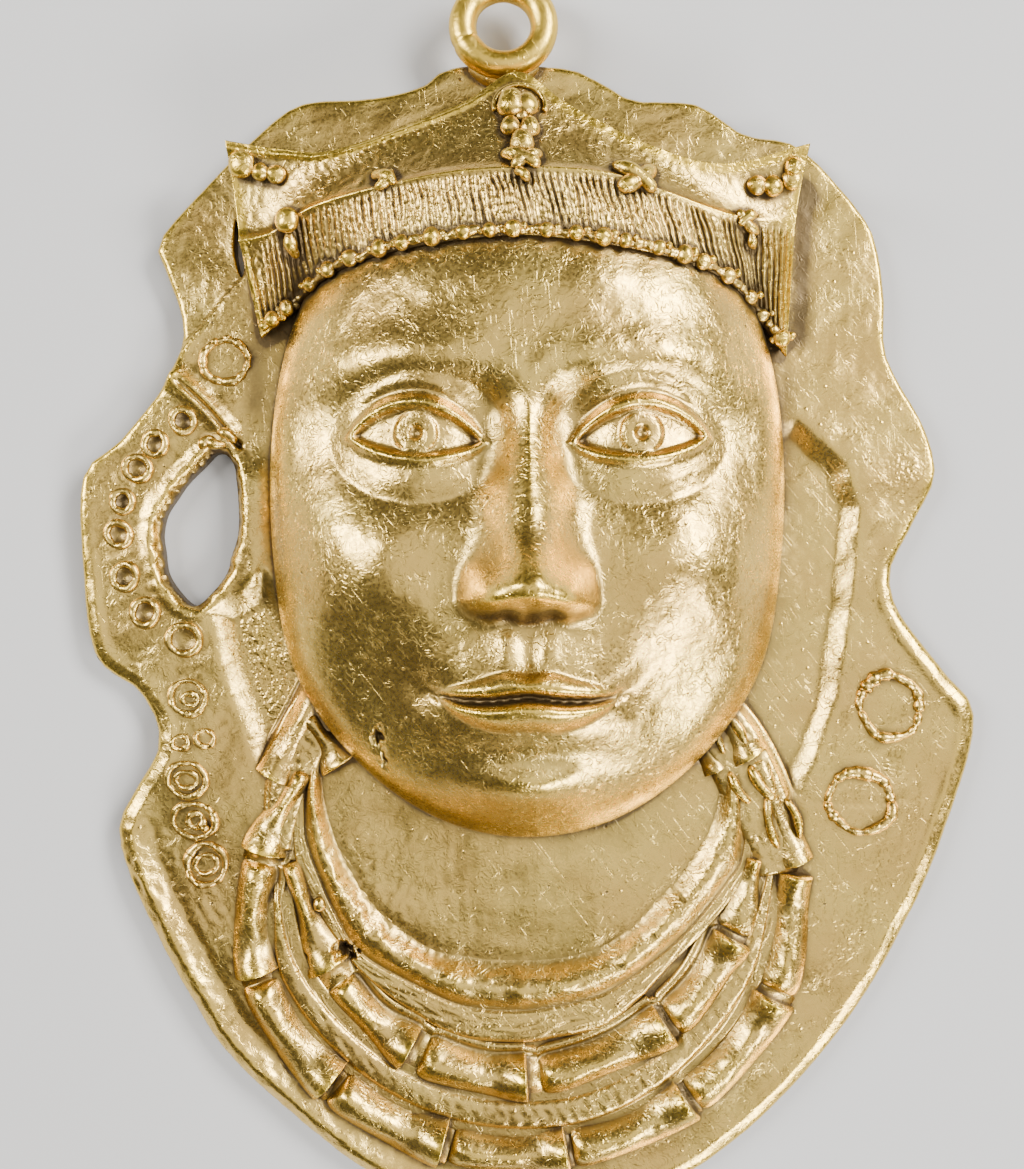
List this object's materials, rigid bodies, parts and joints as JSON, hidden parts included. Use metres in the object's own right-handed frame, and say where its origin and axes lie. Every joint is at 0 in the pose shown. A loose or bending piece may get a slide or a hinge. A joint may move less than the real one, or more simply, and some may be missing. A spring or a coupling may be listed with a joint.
{
  "type": "crowned mask plaque",
  "caption": "Cast brass plaque in the form of a crowned mask with bead strings, hollow at the back, with a wire ring to hang it by.",
  "frame": {"origin": "centre of the plan box at the flat back, with the plaque lying on its back", "axes": "+Z out of the face, +Y towards the hanging ring, +X to the viewer's right"},
  "size_m": [0.09, 0.1242, 0.0225],
  "materials": {
    "cast_brass": "cast, filed and lightly polished brass with brown patina in the recesses",
    "ring_brass": "bent and soldered brass wire, rubbed bright"
  },
  "bodies": {
    "root": {"mask_casting": "cast_brass", "hanging_ring": "ring_brass"}
  },
  "joints": []
}
